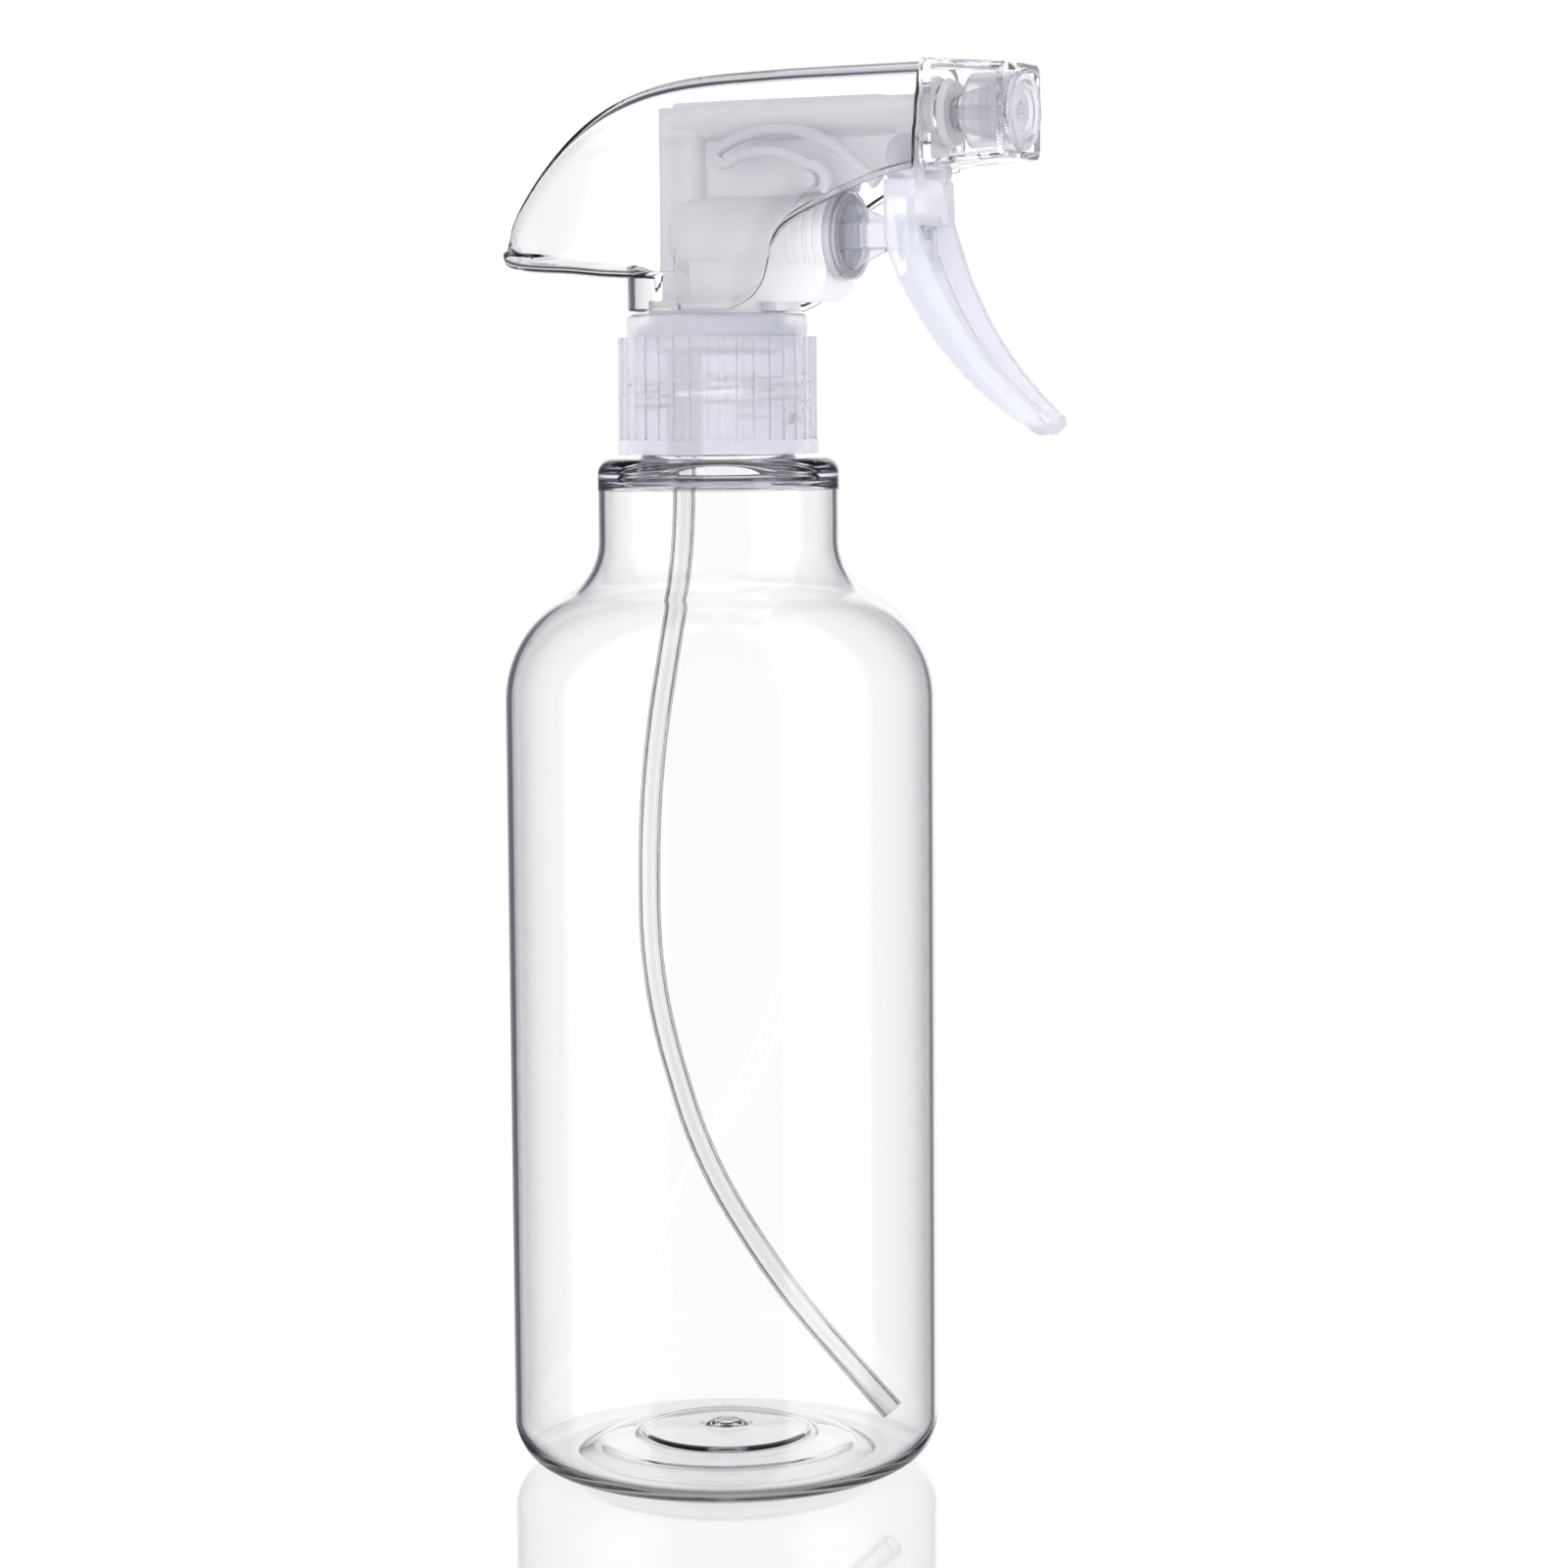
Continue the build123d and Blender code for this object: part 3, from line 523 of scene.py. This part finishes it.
# A ledge's height at x = 0 and its rise along x, and from where to where along x it grows, in mm
UPPER_LEDGE = (220.7, 0.018, -17, -9)
LOWER_LEDGE = (215.3, 0.034, -24, -15)
LEDGE_APART = 0.12           # least distance of a ledge from what is above it, against the height
SHOULDER = 0.45              # height of the rounded shoulder, against its half-width
SHOULDER_POWERS = (2.2, 0.42)    # how it curves over to the top
WAIST = 0.55                 # height of the waist, against the whole height
WAIST_TAPER = 0.25           # how much of the taper is still to come there
WAIST_BULGE = 0.9 * MM       # how much wider than that it is, at most
BULGE_SHARE = 0.04           # and at most this share of the height
FOOT = 0.1                   # height up to which the sides are straight, against the whole height
LIP_R = SKIRT_R - 0.6 * MM   # radius of the opening in the underside, inside the skirt's wall
LIP_GAP = 0.02 * MM          # least distance of a lip from the middle
APART = 0.05 * MM            # least distance between neighbouring points or sections
ROLL_R = 3.0 * MM            # round of the bill's lower edge
ROLL_LEAST = 0.25 * MM
ROLL_SHARE = 0.3             # most of a section's height that the round takes up
NOSE = 1.7 * MM              # length of the bill's rounded tip
NOSE_WALL = 1.2 * SHROUD_WALL
HOLLOW_FROM = 0.85           # sections of the nose below this share of the full size are solid


def ledge(x, row, highest):
    """Height of a ledge at x, and how far the side steps out there."""
    height, rise, first_x, full_x = row
    z = min((height + rise * x / MM) * MM, highest)
    return z, LEDGE * smooth_step(x, first_x * MM, full_x * MM)


def shroud_half(x, lowest):
    """Right half of the shroud's section at x, from its lower lip up to the middle of its top."""
    low_w, high_w, low_z, top_z = [value * MM for value in along(SHROUD_SECTIONS, x / MM)]
    if x < 0:
        lowest = low_z
        lip = math.sqrt(max(0.0, LIP_R**2 - x * x))
    else:
        lip = low_w
    height = top_z - low_z
    roll = max(ROLL_LEAST, min(ROLL_R, low_w - lip, ROLL_SHARE * height))
    lip = max(LIP_GAP, min(lip, low_w - roll - APART))
    outline = [Vector((y, lowest)) for y in spaced(lip, low_w - roll, 4)]
    for angle in spaced(0, math.pi / 2, 7)[1:]:
        y = low_w - roll + roll * math.sin(angle)
        outline.append(Vector((y, lowest + roll * (1 - math.cos(angle)))))
    rise = SHOULDER * high_w
    power, root = SHOULDER_POWERS
    shoulder_z = top_z - rise
    bulge = min(WAIST_BULGE, BULGE_SHARE * height) + WAIST_TAPER * (low_w - high_w)
    widths = [
        (low_z + FOOT * height, low_w),
        (low_z + WAIST * height, high_w + bulge),
        (shoulder_z, high_w),
    ]

    def width(z):
        if z > shoulder_z:
            return high_w * (1 - ((z - shoulder_z) / rise) ** power) ** root
        return low_w if z < widths[0][0] else along(widths, z)[0]

    upper_z, upper = ledge(x, UPPER_LEDGE, top_z - LEDGE_APART * height)
    lower_z, lower = ledge(x, LOWER_LEDGE, upper_z - LEDGE_APART * height)
    step = min(LEDGE_STEP, LEDGE_SHARE * height)
    for z in spaced(lowest + roll, lower_z - step, 13)[1:]:
        outline.append(Vector((width(z) + lower, z)))
    for z in spaced(lower_z + step, upper_z - step, 6):
        outline.append(Vector((width(z) - lower, z)))
    inset = lower + 2 * upper
    start = upper_z + step
    for angle in spaced(0, math.pi / 2, 16)[:-1]:
        z = start + (top_z - start) * math.sin(angle)
        outline.append(Vector((width(z) - inset * math.cos(angle), z)))
    outline.append(Vector((0, top_z)))
    return outline


def inset_outline(outline, depth):
    """An open outline moved to its left by depth, corner by corner, with its end in the middle."""
    moved = []
    for k, point in enumerate(outline):
        ahead = outline[min(k + 1, len(outline) - 1)] - outline[max(k - 1, 0)]
        moved.append(point + Vector((-ahead.y, ahead.x)).normalized() * depth)
    return [Vector((max(LIP_GAP, p.x), p.y)) for p in moved[:-1]] + [Vector((0, moved[-1].y))]


def whole_section(x, half):
    """Vertices of a section at x, from its right lip over the top to its left lip."""
    return [(x, -p.x, p.y) for p in half] + [(x, p.x, p.y) for p in half[-2::-1]]


def front_edge():
    """Points on a smooth curve through the lower edge towards the trigger, in millimetres."""
    edge = [Vector(point) for point in FRONT_EDGE]
    padded = [2 * edge[0] - edge[1]] + edge + [2 * edge[-1] - edge[-2]]
    points = []
    for a, b, c, d in zip(padded, padded[1:], padded[2:], padded[3:]):
        for t in (0, 0.25, 0.5, 0.75):
            point = 0.5 * (2 * b + (c - a) * t + (2 * a - 5 * b + 4 * c - d) * t**2)
            points.append(point + 0.5 * (3 * b - a - 3 * c + d) * t**3)
    return points + [edge[-1]]


def shroud_stations():
    """Where the sections stand: x, the lower edge's height where x isn't negative, and size."""
    stations = []
    for depth in spaced(0.06, 1, 8):
        stations.append((SHROUD_TIP_X + NOSE * depth, 0, math.sqrt(1 - (1 - depth) ** 2)))
    for x in spaced(SHROUD_TIP_X + NOSE, -LIP_R - APART, 26)[1:]:
        stations.append((x, 0, 1))
    for angle in spaced(0, math.pi / 2, 14)[1:]:
        stations.append((min(-APART, -LIP_R * math.cos(angle)), 0, 1))
    for x in spaced(0, SKIRT_FRONT_X, 6):
        stations.append((x, SKIRT_Z, 1))
    *curve, end = front_edge()
    stations += [(point.x * MM, point.y * MM, 1) for point in curve]
    stations.append((SHROUD_FRONT_X, end.y * MM, 1))
    return stations


def shroud_shell():
    """Vertices and faces of the arched shell: skin, inside, nose, rim and front end."""
    vertices = []
    outer = []
    inner = []
    for x, lowest, scale in shroud_stations():
        half = shroud_half(x, lowest)
        middle_z = (half[0].y + half[-1].y) / 2
        skin = [Vector((p.x * scale, middle_z + (p.y - middle_z) * scale)) for p in half]
        outer.append(len(vertices))
        vertices += whole_section(x, skin)
        if scale > HOLLOW_FROM:
            inner.append(len(vertices))
            vertices += whole_section(x, inset_outline(skin, SHROUD_WALL))
    last = 2 * len(half) - 2
    faces = []
    for rows, flip in ((outer, False), (inner, True)):
        for low, high in zip(rows, rows[1:]):
            for k in range(last):
                face = (low + k, high + k, high + k + 1, low + k + 1)
                faces.append(face[::-1] if flip else face)
    # The nose and the inner end behind it
    tip = len(vertices)
    tip_z = (vertices[outer[0] + (last + 1) // 2][2] + vertices[outer[0]][2]) / 2
    vertices.append((SHROUD_TIP_X, 0, tip_z))
    faces += [(tip, outer[0] + k, outer[0] + k + 1) for k in range(last)]
    faces.append((tip, outer[0] + last, outer[0]))
    apex = len(vertices)
    vertices.append((SHROUD_TIP_X + NOSE_WALL, 0, tip_z))
    faces += [(apex, inner[0] + k + 1, inner[0] + k) for k in range(last)]
    faces.append((apex, inner[0], inner[0] + last))
    # The rim along both lips, the solid nose's underside and the front end
    solid = len(outer) - len(inner)
    hollow = outer[solid:]
    for low, high, here, there in zip(hollow, hollow[1:], inner, inner[1:]):
        faces.append((low, here, there, high))
        faces.append((low + last, high + last, there + last, here + last))
    for low, high in zip(outer[:solid], outer[1:solid + 1]):
        faces.append((low, low + last, high + last, high))
    faces.append((hollow[0], hollow[0] + last, inner[0] + last, inner[0]))
    for k in range(last):
        faces.append((outer[-1] + k, inner[-1] + k, inner[-1] + k + 1, outer[-1] + k + 1))
    return vertices, faces


def skirt_ring():
    """Vertices and faces of the round rear half of the skirt."""
    inside = SKIRT_R - SHROUD_WALL
    top = SKIRT_Z + SKIRT_H
    profile = [
        (inside, top), (inside, SKIRT_Z + SKIRT_CORNER), (inside + SKIRT_CORNER, SKIRT_Z),
        (SKIRT_R - SKIRT_CORNER, SKIRT_Z), (SKIRT_R, SKIRT_Z + SKIRT_CORNER), (SKIRT_R, top),
    ]
    vertices = []
    angles = spaced(*(math.radians(degrees) for degrees in SKIRT_ARC), 73)
    for angle in angles:
        vertices += [(r * math.cos(angle), r * math.sin(angle), z) for r, z in profile]
    return vertices, swept_faces(len(angles), len(profile))


def make_shroud():
    """The clear shroud: a stepped arch with a rolled underside, fused with its round skirt."""
    shell = make_object("shroud_clear", *shroud_shell(), SHELL, "sprayer")
    ring = make_object("skirt_part", *skirt_ring(), SHELL, "sprayer")
    recalculate(shell.data)
    recalculate(ring.data)
    join_solids(shell, ring)
    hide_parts("shroud")


# ---------------------------------------------------------------- bow springs

# The hairpin's route in the side view, in millimetres: arcs through three points each
SPRING_ARCS = [
    ((21.6, 207.2), (22.2, 209.6), (19.4, 211.2)),
    ((19.4, 211.2), (13.4, 213.5), (5.6, 212.4)),
    ((5.6, 212.4), (3.5, 212.1), (2.9, 213.8)),
    ((2.9, 213.8), (12.4, 216.9), (25.8, 212.9)),
]
SPRING_END = Vector((31.2, 208.4))
SPRING_T = 0.9               # half the leaf's thickness
SPRING_PAD = 1.3             # half the thickness of the pad at its free end
PAD_FULL = 0.2               # how far from the end the pad starts to thin
SPRING_CORNER = 0.35         # round of the leaf's corners
SPRING_SIDES = 16            # sides of the leaf's section
SPRING_SQUARE = 1.4          # how square the section is: 1 is an ellipse


def squared(value):
    """A sine or cosine drawn out towards -1 and 1."""
    return math.copysign(min(1, abs(value) * SPRING_SQUARE), value)


def make_bow_spring(side, low_y, high_y):
    """A soft-edged hairpin leaf, from its hook to its padded free end."""
    path = [Vector(SPRING_ARCS[0][0])]
    for corners in SPRING_ARCS:
        path += arc_through(*corners, 18)
    last = path[-1]
    path += [last.lerp(SPRING_END, t) for t in spaced(0, 1, 13)[1:]]
    half_y, middle_y = (high_y - low_y) / 2, (high_y + low_y) / 2
    vertices = []
    for k, point in enumerate(path):
        ahead = (path[min(k + 1, len(path) - 1)] - path[max(k - 1, 0)]).normalized()
        across = Vector((-ahead.y, ahead.x))
        to_end = (point - SPRING_END).length
        half = SPRING_T
        if to_end < SPRING_PAD * 2 and k > len(path) // 2:
            half += (SPRING_PAD - SPRING_T) * (1 - smooth_step(to_end, PAD_FULL, SPRING_PAD * 2))
        for turn in range(SPRING_SIDES):
            angle = math.tau * (turn + 0.5) / SPRING_SIDES
            u, v = squared(math.cos(angle)), squared(math.sin(angle))
            out = u * (half - SPRING_CORNER) + SPRING_CORNER * math.cos(angle)
            y = middle_y / MM + v * (half_y / MM - SPRING_CORNER) + SPRING_CORNER * math.sin(angle)
            spot = point + across * out
            vertices.append((spot.x * MM, y * MM, spot.y * MM))
    faces = swept_faces(len(path), SPRING_SIDES)
    leaf = make_object("bow_leaf_" + side, vertices, faces, WHITE)
    recalculate(leaf.data)
    leaf.data.set_sharp_from_angle(angle=CRISP_LEAF)
    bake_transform(leaf)
    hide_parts("bow_spring_" + side)


def make_bow_springs():
    """Both hairpins, each as wide as its CAD node."""
    for side in ("right", "left"):
        low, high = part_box("bow_spring_" + side)
        make_bow_spring(side, low.y, high.y)


# ---------------------------------------------------------------- node helpers

WHITE_LIGHT = (1, 1, 1, 1)


def feed(links, socket, value):
    """Give a socket a number or a colour, or link it to another node's output."""
    if isinstance(value, bpy.types.NodeSocket):
        links.new(value, socket)
    else:
        socket.default_value = value


def math_node(nodes, links, operation, *values):
    """A calculation on numbers or other nodes' outputs. Returns its output."""
    node = nodes.new("ShaderNodeMath")
    node.operation = operation
    for socket, value in zip(node.inputs, values):
        feed(links, socket, value)
    return node.outputs["Value"]


def vector_node(nodes, links, operation, first, second=None):
    """A calculation on one or two vectors. Returns the node."""
    node = nodes.new("ShaderNodeVectorMath")
    node.operation = operation
    links.new(first, node.inputs[0])
    if second:
        node.inputs[1].default_value = second
    return node


def map_node(nodes, links, value, source, target, smooth=False):
    """A value taken from one range to another. Returns its output."""
    node = nodes.new("ShaderNodeMapRange")
    if smooth:
        node.interpolation_type = "SMOOTHSTEP"
    node.inputs["From Min"].default_value, node.inputs["From Max"].default_value = source
    node.inputs["To Min"].default_value, node.inputs["To Max"].default_value = target
    links.new(value, node.inputs["Value"])
    return node.outputs["Result"]


def ramp_node(nodes, links, value, stops):
    """A colour ramp with (position, colour) stops. Returns its output."""
    node = nodes.new("ShaderNodeValToRGB")
    elements = node.color_ramp.elements
    while len(elements) < len(stops):
        elements.new(1.0)
    for element, (position, colour) in zip(elements, stops):
        element.position = position
        element.color = (*colour, 1)
    links.new(value, node.inputs["Fac"])
    return node.outputs["Color"]


def mix_colours(nodes, links, blend, factor, first, second):
    """A mix of two colours. Returns its output."""
    node = nodes.new("ShaderNodeMix")
    node.data_type = "RGBA"
    node.blend_type = blend
    for name, value in (("Factor", factor), ("A", first), ("B", second)):
        feed(links, node.inputs[name], value)
    return node.outputs["Result"]


def mix_shaders(nodes, links, factor, first, second):
    """A mix of two shaders. Returns its output."""
    node = nodes.new("ShaderNodeMixShader")
    for socket, value in zip(node.inputs, (factor, first, second)):
        links.new(value, socket)
    return node.outputs["Shader"]


# ---------------------------------------------------------------- stage and light

FLOOR_SIZE = 4.0                 # half the floor's side in metres
FLOOR_ROUGHNESS = 0.06
FLOOR_GLOW = (1.06, 0.35)        # as seen straight, and as seen in a reflection
FLOOR_GLOSS = (0.34, 0.0)        # near the bottle, and far from it
GLOSS_REACH = (0.10, 0.32)       # where the gloss starts to fade and where it is gone, in metres


def make_floor():
    """A plain white floor, glossy near the bottle, that runs into the white background."""
    size = FLOOR_SIZE
    corners = [(-size, -size, 0), (size, -size, 0), (size, size, 0), (-size, size, 0)]
    mesh = bpy.data.meshes.new("floor")
    mesh.from_pydata(corners, [], [(0, 1, 2, 3)])
    floor = bpy.data.objects.new("floor", mesh)
    bpy.context.scene.collection.objects.link(floor)
    material, nodes, links, output = new_material("floor_white")
    path = nodes.new("ShaderNodeLightPath")
    coords = nodes.new("ShaderNodeTexCoord")
    reach = vector_node(nodes, links, "LENGTH", coords.outputs["Object"]).outputs["Value"]
    glow = nodes.new("ShaderNodeEmission")
    glow.inputs["Color"].default_value = WHITE_LIGHT
    dulled = map_node(nodes, links, path.outputs["Glossy Depth"], (0.0, 1.0), FLOOR_GLOW)
    links.new(dulled, glow.inputs["Strength"])
    gloss = nodes.new("ShaderNodeBsdfGlossy")
    gloss.inputs["Roughness"].default_value = FLOOR_ROUGHNESS
    fade = map_node(nodes, links, reach, GLOSS_REACH, FLOOR_GLOSS, smooth=True)
    mix = mix_shaders(nodes, links, fade, glow.outputs["Emission"], gloss.outputs["BSDF"])
    # Beyond the bottle only the camera sees the floor: what the clear walls bend sees the studio
    clear = nodes.new("ShaderNodeBsdfTransparent")
    beyond = math_node(nodes, links, "GREATER_THAN", reach, BODY_R)
    bent = math_node(nodes, links, "SUBTRACT", 1.0, path.outputs["Is Camera Ray"])
    hidden = math_node(nodes, links, "MULTIPLY", beyond, bent)
    shown = mix_shaders(nodes, links, hidden, mix, clear.outputs["BSDF"])
    links.new(shown, output.inputs["Surface"])
    mesh.materials.append(material)


# The studio round the bottle, from behind it (0) to the front (1), as gloss on the object shows it:
# a white backdrop, dark sides, two soft boxes and a darker gap between them
BACKDROP = (1.0, 1.0, 1.0)
DARK_SIDE = (0.13, 0.135, 0.17)
SOFT_BOX = (1.25, 1.25, 1.25)
FRONT_GAP = (0.10, 0.10, 0.11)
STUDIO = [
    (0.00, BACKDROP),
    (0.016, BACKDROP),
    (0.030, DARK_SIDE),
    (0.48, DARK_SIDE),
    (0.57, SOFT_BOX),
    (0.885, SOFT_BOX),
    (0.915, FRONT_GAP),
    (1.00, FRONT_GAP),
]
STUDIO_TURN = 4.0                # degrees from the studio's front to the camera
STUDIO_FRONT = math.radians(CAMERA_AZIMUTH - STUDIO_TURN)
# The studio's brightness by how far up a direction points: full when level, darker overhead
OVERHEAD = [(0.33, (1, 1, 1)), (0.8, (0.30, 0.31, 0.38))]
THROUGH_STRENGTH = 1.14
SCATTER_STRENGTH = 1.4
SOME = 0.5                       # a count above this is at least one


def make_light():
    """White light that the clear walls pass on, and a studio with dark sides that they reflect."""
    world = bpy.data.worlds.new("studio")
    bpy.context.scene.world = world
    world.use_nodes = True
    world.cycles.sampling_method = "NONE"
    nodes = world.node_tree.nodes
    links = world.node_tree.links
    nodes.clear()
    output = nodes.new("ShaderNodeOutputWorld")
    path = nodes.new("ShaderNodeLightPath")
    coords = nodes.new("ShaderNodeTexCoord")
    split = nodes.new("ShaderNodeSeparateXYZ")
    links.new(coords.outputs["Generated"], split.inputs["Vector"])
    overhead = ramp_node(nodes, links, split.outputs["Z"], OVERHEAD)
    scattered = math_node(nodes, links, "GREATER_THAN", path.outputs["Diffuse Depth"], SOME)

    # What goes through the clear walls, brighter and even where satin plastic has scattered it
    through = nodes.new("ShaderNodeBackground")
    strengths = (THROUGH_STRENGTH, SCATTER_STRENGTH)
    strength = map_node(nodes, links, scattered, (0.0, 1.0), strengths)
    links.new(strength, through.inputs["Strength"])
    even = mix_colours(nodes, links, "MIX", scattered, overhead, WHITE_LIGHT)
    links.new(even, through.inputs["Color"])

    # What they mirror, by how far round to the front a direction points
    level = vector_node(nodes, links, "MULTIPLY", coords.outputs["Generated"], (1, 1, 0))
    unit = vector_node(nodes, links, "NORMALIZE", level.outputs["Vector"])
    front = (math.sin(STUDIO_FRONT), -math.cos(STUDIO_FRONT), 0)
    facing = vector_node(nodes, links, "DOT_PRODUCT", unit.outputs["Vector"], front)
    turned = math_node(nodes, links, "MULTIPLY_ADD", facing.outputs["Value"], 0.5, 0.5)
    around = ramp_node(nodes, links, turned, STUDIO)
    glossed = nodes.new("ShaderNodeBackground")
    dim = mix_colours(nodes, links, "MULTIPLY", 1.0, around, overhead)
    links.new(dim, glossed.inputs["Color"])

    # Only polished surfaces mirror the studio: what satin plastic scatters is even
    deep = math_node(nodes, links, "GREATER_THAN", path.outputs["Glossy Depth"], SOME)
    lone = math_node(nodes, links, "SUBTRACT", path.outputs["Is Singular Ray"], scattered)
    sharp = math_node(nodes, links, "GREATER_THAN", lone, SOME)
    mirrored = math_node(nodes, links, "MULTIPLY", deep, sharp)
    passed, mirror = through.outputs["Background"], glossed.outputs["Background"]
    lit = mix_shaders(nodes, links, mirrored, passed, mirror)

    # The camera itself sees plain white
    seen = nodes.new("ShaderNodeBackground")
    seen.inputs["Color"].default_value = WHITE_LIGHT
    camera_ray = path.outputs["Is Camera Ray"]
    mix = mix_shaders(nodes, links, camera_ray, lit, seen.outputs["Background"])
    links.new(mix, output.inputs["Surface"])


CLEAR_BOUNCES = 24
SURFACE_BOUNCES = 8


def set_render():
    """Enough bounces for walls seen through walls, and colours as they are."""
    scene = bpy.context.scene
    scene.view_settings.view_transform = "Standard"
    scene.cycles.max_bounces = CLEAR_BOUNCES
    scene.cycles.transmission_bounces = CLEAR_BOUNCES
    scene.cycles.transparent_max_bounces = CLEAR_BOUNCES
    scene.cycles.glossy_bounces = SURFACE_BOUNCES
    scene.cycles.diffuse_bounces = SURFACE_BOUNCES


make_camera()
make_light()
make_floor()
dress_cad_nodes()
make_bottle()
make_shroud()
make_bow_springs()
set_render()
